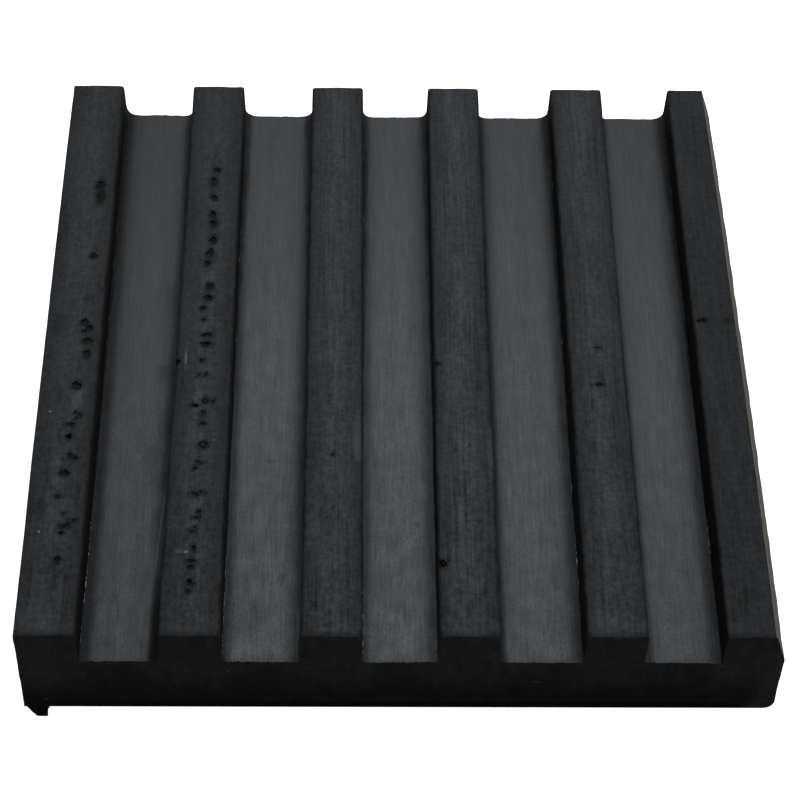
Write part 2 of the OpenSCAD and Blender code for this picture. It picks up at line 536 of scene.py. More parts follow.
# How far the painted shade round a void reaches past its rim
RIM_SHADE_REACH = 0.6
# Steps in the seeds of the voids, from rib to rib and from void to void
VOID_SEED_STEPS = (17.3, 3.1)
RING_SEED = 10.0

# Roughness of a void or chip, and its coarse and fine lumps: (height, waves per radius)
BLOB_ROUGHNESS = 0.45
COARSE_LUMPS = (1.3, 1.3)
FINE_LUMPS = (0.5, 3.3)
# What a lump can reach against its largest radius
BLOB_REACH = 1.5
# Lumps with a larger radius have a finer mesh
LARGE_BLOB_R = 0.4

# Steps round a ring and about its section, their radii against its width, and its depth against
# the second of these
RING_STEPS = (20, 8)
RING_MIDDLE = 0.36
RING_THICKNESS = 0.10
RING_DEPTH = 1.4
RING_LUMPS = (1.3, 1.2)
RING_LUMPS_ABOUT = 0.3

# Chips out of the cut front edge of the groove floors
CHIP_STEP = 1.3
CHIP_SIZES = (0.08, 0.2)
CHIP_SEED = 5
# How far they keep from the walls, and how far out of the edge and up their middles lie
CHIP_MARGIN = 1.2
CHIP_OUT_SHARE = 0.3
CHIP_UP = 0.02


def blob(bm, at, radii, seed, turn=0):
    """A rough closed lump."""
    subdivisions = 3 if max(radii) > LARGE_BLOB_R else 2
    verts = bmesh.ops.create_icosphere(bm, subdivisions=subdivisions, radius=1)["verts"]
    spin = Matrix.Rotation(math.radians(turn), 3, "Z")
    for v in verts:
        swell = 1
        for (height, per_radius), shift in ((COARSE_LUMPS, (seed, 0, 0)), (FINE_LUMPS, (0, seed, 0))):
            lump = noise.noise(v.co * per_radius + Vector(shift))
            swell += BLOB_ROUGHNESS * height * lump
        v.co = spin @ Vector([c * r * swell for c, r in zip(v.co, radii)]) + Vector(at)


def ring(bm, at, width, seed):
    """A rough closed ring."""
    around, about = RING_STEPS
    middle, thick = width * RING_MIDDLE, width * RING_THICKNESS
    height, per_radius = RING_LUMPS
    loops = []
    for i in range(around):
        a = 2 * math.pi * i / around
        loop = []
        for j in range(about):
            b = 2 * math.pi * j / about
            lump = 1 + height * noise.noise(Vector((
                math.cos(a) * per_radius + seed, math.sin(a) * per_radius, b * RING_LUMPS_ABOUT)))
            reach = middle + thick * lump * math.cos(b)
            loop.append(bm.verts.new(Vector(at) + Vector((
                reach * math.cos(a), reach * math.sin(a), RING_DEPTH * thick * lump * math.sin(b)))))
        loops.append(loop)
    for i in range(around):
        for j in range(about):
            k, m = (i + 1) % around, (j + 1) % about
            bm.faces.new((loops[i][j], loops[k][j], loops[k][m], loops[i][m]))


def voids():
    """Cutters for the voids: (place, reach, function that builds it, its other arguments)."""
    made = []
    rib_seed, void_seed = VOID_SEED_STEPS
    for k, places in VOIDS.items():
        for n, (offset, from_front, width, length, *turn) in enumerate(places):
            x, y = top_centre(k) + offset, FRONT_Y + from_front
            if (k, from_front) in RING_VOIDS:
                made.append(((x, y, PAD_H), width, ring, (width, RING_SEED)))
                continue
            share = DEEP_VOID_DEPTH if (k, from_front) in DEEP_VOIDS else VOID_DEPTH
            depth = share * min(width, length)
            at = (x, y, PAD_H - VOID_SINK * depth)
            radii = (width / 2 * VOID_SHARE, length / 2 * VOID_SHARE, depth)
            seed = rib_seed * k + void_seed * n
            made.append((at, max(radii) * BLOB_REACH, blob, (radii, seed, *turn)))
    return made


def chips():
    """Cutters for the chips, in the same form as those for the voids."""
    made = []
    dice = random.Random(CHIP_SEED)
    low, high = CHIP_SIZES
    for k in range(1, GROOVE_COUNT + 1):
        x = rib_right(k) + CHIP_MARGIN + dice.random()
        while x < rib_left(k + 1) - CHIP_MARGIN:
            # The square makes small chips more common
            size = low + (high - low) * dice.random() ** 2
            at = (x, FRONT_Y - CHIP_OUT_SHARE * size, GROOVE_FLOOR_Z + CHIP_UP)
            radii = (size * (1 + dice.random()), size, size * (0.7 + dice.random()))
            made.append((at, max(radii) * BLOB_REACH, blob, (radii, x)))
            x += CHIP_STEP * (0.4 + 1.2 * dice.random())
    return made


def add_rim_shade(mesh):
    """Paints shade on the rubber round each void: 1 at its rim, falling to 0."""
    tree = KDTree(len(mesh.vertices))
    for v in mesh.vertices:
        tree.insert(v.co, v.index)
    tree.balance()
    rim_shade = [0.0] * len(mesh.vertices)
    spots = [(top_centre(k) + offset, from_front, width / 2, length / 2)
             for k, places in VOIDS.items() for offset, from_front, width, length, *_ in places]
    for x, from_front, across, along in spots:
        at = Vector((x, FRONT_Y + from_front, PAD_H))
        for co, index, _ in tree.find_range(at, max(across, along) + RIM_SHADE_REACH):
            away = co - at
            past = (math.hypot(away.x / across, away.y / along) - 1) * min(across, along)
            rim_shade[index] = max(rim_shade[index], min(1 - past / RIM_SHADE_REACH, 1.0))
    mesh.attributes.new("rim_shade", "FLOAT", "POINT").data.foreach_set("value", rim_shade)


def batches(cutters):
    """Shares the cutters out so that no two in a batch touch."""
    shared = []
    for cutter in cutters:
        at, reach = cutter[:2]
        for batch in shared:
            if all((Vector(at) - Vector(other)).length > reach + far for other, far, *_ in batch):
                batch.append(cutter)
                break
        else:
            shared.append([cutter])
    return shared


def nib(bm):
    """The nib of torn rubber: a rough wedge that lies on the ground."""
    lean = (LEFT_X - LEFT_FOOT_X) / PAD_H
    root_x = LEFT_FOOT_X + NIB_SETBACK
    tip_to_x = LEFT_FOOT_X + NIB_ROOT_W - NIB_TIP_INSET
    tip_x = tip_to_x - NIB_TIP_W
    rows = []
    for out in NIB_ROWS:
        share = max(out, 0) / NIB_REACH
        from_x = root_x + (tip_x - root_x) * share
        curve = max(1 - max(out, 0) / NIB_FILLET, 0)
        to_x = tip_to_x + NIB_FILLET * (1 - math.sqrt(1 - curve ** 2))
        high = NIB_TIP_H + (NIB_H - NIB_TIP_H) * (1 - share) ** NIB_SLOPE
        rough = share_between(out, 0, NIB_ROUGH_FROM)
        row = [(from_x, 0)]
        for n in range(NIB_STEPS + 1):
            t = n / NIB_STEPS
            z = high * (1 - NIB_ROUND_SHARE * rough * abs(2 * t - 1) ** 4)
            row.append((from_x + (to_x - from_x) * t + lean * z, z))
        row.append((to_x, 0))
        verts = []
        for x, z in row:
            at = Vector((x, FRONT_Y - out, z))
            height, per_mm = NIB_ROUGH_SIDE
            at.x += height * rough * noise.noise(at * per_mm + Vector((9, 0, 0)))
            at.y += height * rough * noise.noise(at * per_mm + Vector((0, 9, 0)))
            if z:
                height, per_mm = NIB_ROUGH_TOP
                at.z = max(z + height * rough * noise.noise(at * per_mm), NIB_LEAST_H)
            verts.append(bm.verts.new(at))
        rows.append(verts)
    for row, next_row in zip(rows, rows[1:]):
        for n in range(len(row)):
            m = (n + 1) % len(row)
            bm.faces.new((row[n], row[m], next_row[m], next_row[n]))
    bm.faces.new(rows[0])
    bm.faces.new(rows[-1][::-1])
    bmesh.ops.triangulate(bm, faces=bm.faces)


def placed(name, data):
    """A new object in the scene."""
    obj = bpy.data.objects.new(name, data)
    bpy.context.collection.objects.link(obj)
    return obj


def combined(mesh, add_to, surface, operation):
    """The mesh after a boolean with the closed shapes that add_to builds."""
    bm = bmesh.new()
    add_to(bm)
    for face in bm.faces:
        face.material_index = surface
    bmesh.ops.recalc_face_normals(bm, faces=bm.faces)
    tool_mesh = bpy.data.meshes.new("tool")
    bm.to_mesh(tool_mesh)
    bm.free()
    for material in mesh.materials:
        tool_mesh.materials.append(material)
    body, tool = placed("body", mesh), placed("tool", tool_mesh)
    modifier = body.modifiers.new("cut", "BOOLEAN")
    modifier.operation = operation
    modifier.solver = "MANIFOLD"
    modifier.object = tool
    done = body.evaluated_get(bpy.context.evaluated_depsgraph_get())
    made = bpy.data.meshes.new_from_object(done)
    for obj in (body, tool):
        bpy.data.objects.remove(obj)
    bpy.data.meshes.remove(tool_mesh)
    bpy.data.meshes.remove(mesh)
    return made


def without(mesh, cutters, surface):
    """The mesh with all the cutters taken out of it, a batch at a time."""
    for batch in batches(cutters):
        def add_batch(bm):
            for at, _, build, arguments in batch:
                build(bm, at, *arguments)
        mesh = combined(mesh, add_batch, surface, "DIFFERENCE")
    return mesh


# ---- materials

# Marks are soft ellipses: (x, y, width across, length along), and a turn in degrees if they have one
TOP_LIGHT_MARKS = (
    (-48.42, -33.84, 0.45, 0.4), (-25.76, -18.53, 0.3, 0.3), (-48.65, -13.7, 0.4, 0.35),
    (-30.28, -4.2, 0.14, 3.4, 2), (-28.6, -37, 0.7, 0.3, 10), (-44.7, -21.7, 0.3, 0.3),
)
TOP_PALE_MARKS = (
    (-29.3, -36.8, 2.2, 0.7, 5), (-30.4, -4.6, 0.5, 4.2, 2), (-28.2, -12, 1.6, 5), (-27.6, -30, 1.4, 9),
    (-45, -12, 1.6, 6), (-47, -24, 2, 5, 10), (-6, -18, 1.8, 9), (12.5, -20, 1.4, 10),
)
# Voids that do not break through, and other dark spots on the rib tops
TOP_DARK_MARKS = (
    (-44.84, 21.4, 0.8, 1.1), (-44.7, 16.5, 1.3, 1.3), (-44.93, 6.9, 1.6, 1.5), (-47.4, -10.2, 0.6, 0.6),
    (-44.2, -28.3, 1.2, 1.1), (-44.2, -36.4, 0.9, 0.8), (-44.1, -41.4, 1, 1.3), (-27.55, 35.6, 1.1, 1.1),
    (5.14, 27.7, 0.7, 0.7), (9.4, -19.3, 0.6, 0.6), (29.1, -19.3, 0.6, 0.6), (-49, -30, 2.2, 3.5),
    (-47, -24, 2.5, 2.5), (-48.6, 2, 2.4, 5), (-9.3, -29.6, 0.9, 0.8),
)
# Soft smears that join the voids towards the back
TOP_SMEARS = (
    (-27.5, 33.5, 1.7, 3.8), (-27.6, 28.5, 1.8, 5), (-27.4, 20.5, 2.1, 7.2), (-27.7, 14.4, 2, 5),
    (-27.6, 8.3, 2.2, 3.6), (-44.8, 28, 1.8, 6),
)
# Dark spots in the grooves
GROOVE_DARK_MARKS = (
    (-33.6, 11.9, 1.8, 7), (-40.37, -40.17, 0.9, 1.2), (-38.6, -40.3, 1.2, 2.2),
    (-38.9, -47.3, 1.3, 1.6), (-40.7, -48, 0.6, 0.9), (-33.6, -29, 1.6, 8), (38.49, -38.73, 0.4, 0.4),
    (-18, -17.5, 2.4, 0.8), (-16, -37, 1.2, 2), (2.2, -28, 0.9, 1.4),
)
# Larger dark patches beside the second rib
GROOVE_PATCHES = (
    (-33.7, -1.9, 2.8, 3.8), (-33.2, -11.4, 2.2, 6.5), (-34.6, -17, 3.6, 6.5), (-33.5, -21, 2.8, 5, 10),
)
# Scuffs in the grooves
GROOVE_LIGHT_MARKS = (
    (23.17, -24.9, 0.14, 1.6, 6), (22.9, -25.9, 0.12, 1.2, -4), (26.2, -35, 0.3, 0.3),
    (-33, -29.8, 0.22, 18.5, -3), (-13.85, -45, 0.2, 8), (4.95, -42.6, 0.2, 8),
)
# A scratch in the first groove, near the front
GROOVE_SCRATCHES = ((-37.8, -42.4, 0.3, 4.5, 4),)
# Painted shade in the root left of the second rib near the front: (place on X, half width,
# reach, how much darker), and where on Y it fades in
ROOT_FRONT_SHADE = (rib_left(2), 1.2, 2.0, 0.87)
ROOT_FRONT_SHADE_Y = (-36, -42)
# Where flash still stands along the roots of the groove walls, in painted highlights
FLASH_HIGHLIGHT_MARKS = (
    (-42.3, -36.5, 2, 19), (-23.6, -41, 2, 17), (-13.25, -43, 2, 12), (-5.1, -43.5, 2, 11),
    (23.7, -34, 2, 9), (42.2, -30, 2, 5),
)


# Shares of its radius between which a mark fades, how rough its outline is, and its depth
MARK_EDGE = (1.15, 0.6)
MARK_ROUGH = 0.45
ENDLESS = 1000


class Rubber:
    """One surface of the rubber: a node tree that works in millimetres."""

    def __init__(self, name, specular):
        self.material = bpy.data.materials.new(name)
        self.material.use_nodes = True
        self.tree = self.material.node_tree
        self.shader = self.tree.nodes["Principled BSDF"]
        self.shader.inputs["Specular IOR Level"].default_value = specular
        self.place = self.node("ShaderNodeTexCoord").outputs["Object"]

    def node(self, kind, inputs=None, **settings):
        node = self.tree.nodes.new(kind)
        for name, setting in settings.items():
            setattr(node, name, setting)
        for name, source in (inputs or {}).items():
            self.feed(node.inputs[name], source)
        return node

    def feed(self, socket, source):
        if isinstance(source, bpy.types.NodeSocket):
            self.tree.links.new(source, socket)
        else:
            socket.default_value = source

    def scaled(self, size, at=(0, 0, 0), turn=0):
        """Coordinates that run one unit per size, from this place."""
        return self.node("ShaderNodeMapping", {
            "Vector": self.place,
            "Location": [c * MM for c in at],
            "Rotation": (0, 0, math.radians(turn)),
            "Scale": [s * MM for s in size],
        }, vector_type="TEXTURE").outputs["Vector"]

    def noise(self, size, detail=2.0, seed=0.0):
        """Noise from 0 to 1 whose lumps have this size in mm. A seed moves it aside."""
        return self.node("ShaderNodeTexNoise", {
            "Vector": self.scaled(size, (seed * 50, seed * 30, 0)),
            "Scale": 1.0, "Detail": detail, "Roughness": 0.55,
        }).outputs[0]

    def span(self, value, low, high, to_low=0.0, to_high=1.0):
        """Runs from to_low, where the value is low, to to_high, where it is high."""
        return self.node("ShaderNodeMapRange", {
            "Value": value, "From Min": low, "From Max": high, "To Min": to_low, "To Max": to_high,
        }).outputs["Result"]

    def math(self, operation, *values):
        return self.node("ShaderNodeMath", dict(enumerate(values)), operation=operation).outputs[0]

    def total(self, *parts):
        """Sum of values, each with its weight."""
        made = 0.0
        for value, weight in parts:
            made = self.math("MULTIPLY_ADD", value, weight, made)
        return made

    def mix(self, factor, a, b):
        """Colour a where the factor is 0 and b where it is 1."""
        node = self.node("ShaderNodeMix", data_type="RGBA")
        # Its sockets are picked by number, because those of its kinds share their names
        for index, source in ((0, factor), (6, a), (7, b)):
            if isinstance(source, tuple) and len(source) == 3:
                source = (*source, 1)
            self.feed(node.inputs[index], source)
        return node.outputs[2]

    def along(self, axis):
        """Distance along an axis in mm."""
        split = self.node("ShaderNodeSeparateXYZ", {"Vector": self.place})
        return self.math("MULTIPLY", split.outputs[axis], 1 / MM)

    def marks(self, places, upright=False):
        """1 inside any of the marks, 0 outside, with rough soft edges.

        Upright marks lie on the front face, and their places are on X and Z.
        """
        rough = self.span(self.noise((0.5, 0.6, 0.5), detail=4.0), 0.25, 0.75, -MARK_ROUGH, MARK_ROUGH)
        made = 0.0
        for x, y, width, length, *turn in places:
            if upright:
                where = self.scaled((width / 2, ENDLESS, length / 2), (x, 0, y))
            else:
                where = self.scaled((width / 2, length / 2, ENDLESS), (x, y, 0), *turn)
            far = self.node("ShaderNodeVectorMath", {0: where}, operation="LENGTH").outputs["Value"]
            made = self.math("MAXIMUM", made, self.span(self.math("ADD", far, rough), *MARK_EDGE))
        return made

    def tone(self, *layers):
        """About 1, raised and lowered by each noise times its weight."""
        made = 1.0
        for value, weight in layers:
            made = self.math("MULTIPLY_ADD", value, weight, made)
            made = self.math("SUBTRACT", made, weight / 2)
        return made

    def contrast(self, tone, strength):
        """A tone whose distance from 1 is changed by a factor."""
        return self.math("MULTIPLY_ADD", self.math("SUBTRACT", tone, 1.0), strength, 1.0)

    def tinted(self, color, tone, hue_swing=0.02):
        """A colour made lighter or darker by a tone, which swings a little from cool to warm."""
        swing = self.span(self.noise((2.2, 2.2, 2.2), detail=3.0, seed=9.0), 0.35, 0.65)
        hue = self.mix(swing, (color[0] * (1 - hue_swing), color[1], color[2] * (1 + hue_swing)),
                       (color[0] * (1 + hue_swing), color[1], color[2] * (1 - hue_swing)))
        return self.node("ShaderNodeVectorMath", {0: hue, "Scale": tone}, operation="SCALE").outputs[0]

    def attribute(self, name):
        node = self.node("ShaderNodeAttribute", attribute_type="GEOMETRY", attribute_name=name)
        return node.outputs["Fac"]

    def humps(self, places, low=0.0):
        """Highest of soft humps: each (place on X, half width of its flat, reach, height).

        At its reach a hump has fallen to the share `low` of its height.
        """
        here = self.along("X")
        made = low
        for place, flat, reach, height in places:
            far = self.math("ABSOLUTE", self.math("SUBTRACT", here, place))
            made = self.math("MAXIMUM", made, self.span(far, flat, reach, height, height * low))
        return made

    def darker(self, color, mask, strength):
        return self.mix(self.math("MULTIPLY", mask, strength), color, (0, 0, 0))

    def lighter(self, color, mask, strength, light):
        return self.mix(self.math("MULTIPLY", mask, strength), color, light)

    def finish(self, color, roughness, height=None, bump=0.0):
        """The material; its relief is a height from 0 to 1 times the bump in mm."""
        self.feed(self.shader.inputs["Base Color"], color)
        self.feed(self.shader.inputs["Roughness"], roughness)
        if height is not None:
            node = self.node("ShaderNodeBump", {"Height": height, "Strength": 1.0, "Distance": bump * MM})
            self.feed(self.shader.inputs["Normal"], node.outputs["Normal"])
        return self.material


def shade(color, factor):
    return tuple(c * factor for c in color)


TOP_COLOR = (0.0290, 0.0325, 0.0362)
# The groove floors are lighter than the rib tops, partly their own tone and partly painted sheen
GROOVE_COLOR = (0.0560, 0.0645, 0.0725)
# The groove walls are painted darker than the rest of the rubber, as painted shade
SHADED_WALL_COLOR = (0.0095, 0.0095, 0.0110)
# Painted light on the upper part of the groove walls, in a brown tint
LIT_WALL_BROWN = (0.034, 0.030, 0.026)
CUT_COLOR = (0.0290, 0.0300, 0.0305)
# The bevel's light colour is a painted reflection of the pale ground, seen at a grazing angle
BEVEL_REFLECTION_COLOR = (0.15, 0.142, 0.120)
# The flash is painted light, as highlights on its lip
FLASH_HIGHLIGHT_COLOR = (0.48, 0.48, 0.50)
SPECK_COLOR = (0.20, 0.21, 0.22)
# The inside of a void is painted darker than the rubber, as painted shade
VOID_SHADE_DARK = (0.0085, 0.0090, 0.0095)
VOID_SHADE_LIGHT = (0.019, 0.020, 0.021)

# How light the middle of each rib's top is, partly its own tone and partly painted sheen, and how
# much of that is left at its edges under painted shade
RIB_TONE_AND_SHEEN = {1: 1.12, 2: 1.12, 3: 1.30, 4: 1.38, 5: 1.25, 6: 0.53}
RIB_EDGE_SHADE_SHARE = 0.42
# Painted shade in the roots of the walls, where the floor meets them: (groove, side, width of its
# dark part, its reach, how much darker), measured from the rib's edge
ROOT_SHADE = (
    (1, "left", 1, 4.2, 0.3), (3, "left", 0.1, 4.2, 0.18), (3, "right", 1, 4.2, 0.1),
    (4, "left", 0.5, 3, 0.28), (4, "right", 1, 4.2, 0.12), (5, "left", 0.1, 2, 0.1),
    (5, "right", 0.1, 4.2, 0.2),
)
# The darkest painted shade, right beside the walls
ROOT_DEEP_SHADE = (
    (1, "left", 0.9, 2, 0.5), (1, "right", 0.9, 2, 0.6), (2, "left", 0.6, 1.6, 0.5),
    (2, "right", 0.1, 2, 0.75), (3, "left", 0.6, 1.3, 0.3), (3, "right", 0.6, 2, 0.32),
    (4, "left", 0.6, 1.3, 0.6), (4, "right", 0.6, 2, 0.4), (5, "left", 0.9, 1.6, 0.5),
    (5, "right", 0.6, 2, 0.4),
)
# Where on Y the painted shade changes, and its strength there
ROOT_SHADE_Y = (-5, 40, 0.85, 1.2)
ROOT_DEEP_SHADE_Y = (-5, 40, 1.0, 0.35)
# Painted sheen across the groove floors, lightest on the middle grooves
GROOVE_SHEEN = {1: 0.72, 2: 1.00, 3: 1.12, 4: 0.96, 5: 0.82}

# Half width of the light middle of a rib top and of a groove floor, and how far out it falls off:
# on the tops into painted shade at the edges, on the floors to the end of each groove's painted sheen
TOP_EDGE_SHADE = (0.6, 3.95)
GROOVE_SHEEN_SPREAD = (5.2, 8.0)
# What changes along an axis: two places on it, and the values at them if they aren't 0 and 1
TOP_CONTRAST_Y = (30, FRONT_Y, 0.8, 1.3)
TOP_BRUSHING_X = (-20, -10, 0.3, 1.5)
TOP_PALE_Y = (FRONT_Y + 3.4, FRONT_Y + 1.8)
# Painted shade where the front edge of the rib tops rounds over
TOP_FRONT_SHADE_Y = (FRONT_Y + 1.4, FRONT_Y + 0.4)
# Painted light on the upper walls, reaching lower on the walls that face the key light
WALL_LIT_X = (-20, 5, PAD_H - 2.4, PAD_H - 0.7)
WALL_LIT_TO_Z = PAD_H + 0.3
# Painted shade on the walls towards the right, which face away from the key light
WALL_SHADE_X = (0, 25)
GROOVE_CONTRAST_Y = (30, FRONT_Y, 1.6, 2.1)
# Painted shade on the groove floors towards the back
GROOVE_SHADE_Y = (-10, BACK_Y, 1.0, 0.46)
# Painted shade where the front edge of the groove floors rounds over
GROOVE_FRONT_SHADE_Y = (FRONT_Y + 1.4, FRONT_Y + 0.2)
GROOVE_SPECKS_Y = (FRONT_Y, 15, 1.0, 0.15)


def rib_top():
    m = Rubber("rubber_rib_top", 0.15)
    y = m.along("Y")
    blotch = m.noise((2.4, 3.0, 2.4), detail=5.0)
    cloud = m.noise((0.8, 0.9, 1), detail=3.0, seed=6.0)
    weave = m.total((m.noise((0.32, 2.6, 1)), 0.6), (m.noise((1.4, 0.34, 1), seed=1.0), 0.4))
    streak = m.noise((0.7, 16, 3), seed=2.0)
    wide = m.noise((5, 12, 14), seed=3.0)
    grain = m.noise((0.2, 0.2, 0.2), detail=1.0)
    tone = m.tone((blotch, 1.8), (cloud, 1.4), (weave, 1.5), (streak, 0.9), (wide, 0.8), (grain, 0.6))
    tone = m.contrast(tone, m.span(y, *TOP_CONTRAST_Y))
    brushed = m.math("SUBTRACT", m.noise((0.35, 14, 3), detail=3.0, seed=8.0), 0.5)
    tone = m.math("MULTIPLY_ADD", brushed, m.span(m.along("X"), *TOP_BRUSHING_X), tone)
    # Painted sheen, lightest on the middle ribs and partly their own tone, and painted shade towards each
    # rib's edges
    sheen_and_edge_shade = m.humps([(top_centre(k), *TOP_EDGE_SHADE, light) for k, light in RIB_TONE_AND_SHEEN.items()],
                    low=RIB_EDGE_SHADE_SHARE)
    color = m.tinted(TOP_COLOR, m.math("MULTIPLY", tone, sheen_and_edge_shade), 0.05)
    front = m.total((y, 1.0), (m.noise((1.5, 0.8, 1)), 0.7))
    color = m.lighter(color, m.span(front, *TOP_PALE_Y), 0.1, shade(TOP_COLOR, 1.9))
    # Painted shade along the front edge
    color = m.darker(color, m.span(front, *TOP_FRONT_SHADE_Y), 0.72)
    specks = m.math("MULTIPLY", m.span(m.noise((0.3, 0.3, 0.3), seed=4.0), 0.70, 0.76),
                    m.span(m.noise((6, 6, 6), seed=5.0), 0.45, 0.6))
    color = m.lighter(color, specks, 0.5, SPECK_COLOR)
    color = m.lighter(color, m.marks(TOP_PALE_MARKS), 0.13, SPECK_COLOR)
    color = m.darker(color, m.marks(TOP_DARK_MARKS), 0.4)
    color = m.darker(color, m.marks(TOP_SMEARS), 0.42)
    # Painted shade round each void, with a ragged edge
    ragged = m.noise((0.3, 0.3, 0.3), detail=3.0, seed=7.0)
    rim_shade = m.total((ragged, 2.4), (m.attribute("rim_shade"), 1.0))
    color = m.darker(color, m.span(rim_shade, 1.25, 2.05), 0.8)
    color = m.lighter(color, m.marks(TOP_LIGHT_MARKS), 0.45, shade(SPECK_COLOR, 1.6))
    return m.finish(color, m.span(blotch, 0.3, 0.7, 0.62, 0.8),
                    m.total((weave, 0.6), (grain, 0.3), (blotch, 0.6)), 0.06)


def rib_wall():
    m = Rubber("rubber_wall", 0.1)
    x = m.along("X")
    edge = m.total((m.along("Z"), 1.0), (m.noise((0.5, 3, 1)), 0.8))
    # Painted light towards the top of each wall, reaching lower on the walls that face the key light
    lit_from_z = m.span(x, *WALL_LIT_X)
    color = m.mix(m.span(edge, lit_from_z, WALL_LIT_TO_Z), SHADED_WALL_COLOR, LIT_WALL_BROWN)
    # Painted shade on the walls that face away from the key light
    color = m.darker(color, m.span(x, *WALL_SHADE_X), 0.35)
    return m.finish(color, 0.75, m.noise((0.5, 6, 1)), 0.05)


def flash_highlights():
    m = Rubber("rubber_lip", 0.5)
    # Painted highlights in dashes along the lip of flash
    highlight_dashes = m.span(m.noise((8, 0.7, 8), detail=4.0), 0.44, 0.60)
    light = m.math("MULTIPLY", highlight_dashes, m.marks(FLASH_HIGHLIGHT_MARKS))
    return m.finish(m.mix(light, SHADED_WALL_COLOR, FLASH_HIGHLIGHT_COLOR), 0.5)


def groove_floor():
    m = Rubber("rubber_groove", 0.25)
    y = m.along("Y")
    streak = m.noise((0.3, 5, 3), detail=3.0)
    band = m.noise((1.6, 40, 3), seed=1.0)
    blotch = m.noise((2.2, 2.8, 5), detail=5.0, seed=2.0)
    grain = m.noise((0.2, 0.35, 0.22), detail=1.0, seed=3.0)
    tone = m.tone((streak, 0.8), (band, 0.4), (blotch, 1.35), (grain, 0.6))
    tone = m.contrast(tone, m.span(y, *GROOVE_CONTRAST_Y))
    # Painted shade towards the back
    tone = m.math("MULTIPLY", tone, m.span(y, *GROOVE_SHADE_Y))
    # Painted sheen, lightest on the middle grooves
    sheen_humps = [((rib_right(k) + rib_left(k + 1)) / 2, *GROOVE_SHEEN_SPREAD, light)
               for k, light in GROOVE_SHEEN.items()]
    color = m.tinted(GROOVE_COLOR, m.math("MULTIPLY", tone, m.humps(sheen_humps)), 0.03)
    # Painted shade along the front edge
    color = m.darker(color, m.span(y, *GROOVE_FRONT_SHADE_Y), 0.28)
    # Painted shade in the root beside the second rib, near the front
    front_root_shade = m.math("MULTIPLY", m.humps([ROOT_FRONT_SHADE]), m.span(y, *ROOT_FRONT_SHADE_Y))
    dull = front_root_shade
    # Painted shade in the roots beside the walls
    for table, along_y in ((ROOT_SHADE, ROOT_SHADE_Y), (ROOT_DEEP_SHADE, ROOT_DEEP_SHADE_Y)):
        root_shade = m.humps([
            (rib_right(groove) if side == "left" else rib_left(groove + 1), dark, reach, strength)
            for groove, side, dark, reach, strength in table])
        root_shade = m.math("MULTIPLY", root_shade, m.span(y, *along_y))
        color = m.darker(color, root_shade, 1.0)
        dull = m.math("ADD", dull, root_shade)
    specks = m.span(m.noise((0.24, 0.7, 0.3), detail=2.0, seed=4.0), 0.42, 0.34)
    color = m.darker(color, m.math("MULTIPLY", specks, m.span(y, *GROOVE_SPECKS_Y)), 0.45)
    for places, strength in ((GROOVE_DARK_MARKS, 0.42), (GROOVE_SCRATCHES, 0.4), (GROOVE_PATCHES, 0.5)):
        color = m.darker(color, m.marks(places), strength)
    color = m.darker(color, front_root_shade, 1.0)
    color = m.lighter(color, m.marks(GROOVE_LIGHT_MARKS), 0.25, SPECK_COLOR)
    roughness = m.math("ADD", m.span(blotch, 0.3, 0.7, 0.5, 0.62), m.span(dull, 0.1, 0.9, 0.0, 0.3))
    return m.finish(color, roughness, m.total((streak, 0.5), (grain, 0.3), (blotch, 0.3)), 0.04)


# Marks on the front face: (x, z, width, height)
CUT_LIGHT_MARKS = (
    (-23, 9.1, 0.4, 0.35), (-29.7, 6.7, 0.35, 0.3), (42.2, 10.7, 0.4, 0.3), (-47.7, 1.8, 0.3, 0.3),
    (18, 6.5, 1.2, 0.3), (-0.5, 9, 0.3, 0.3),
)
CUT_DARK_MARKS = (
    (21.1, 10.2, 0.25, 0.9),
    # Below each groove
    *((x, 7.5, 10.0, 7.5) for x in (-37.0, -18.5, 0.0, 18.2, 36.6)),
)
CUT_PALE_MARKS = ((-48.0, 9.0, 6.0, 16.0), (50.0, 8.0, 5.0, 14.0))

# Tones of the front face by height, above the scored line and below it, in painted shade that is
# darker towards the ground
FACE_SHADE_Z = (3.0, 8.5, 0.28, 0.88)
FOOT_SHADE_Z = (0.8, 1.9, 0.06, 0.42)
SCORE_STEP_Z = (SCORE_Z - 0.1, SCORE_Z + 0.1)
# Both are lighter towards the right end, in painted light from the right, and the lower one beside
# the nib too, where its painted shade eases
RIGHT_END_LIGHT_X = (RIGHT_X - 5, RIGHT_X - 2)
RIGHT_END_LIGHT_TONES = (0.8, 0.95)
NIB_END_X = (LEFT_FOOT_X + NIB_ROOT_W + 1.5, LEFT_FOOT_X + NIB_ROOT_W - 0.5)
NIB_END_TONE = 0.42


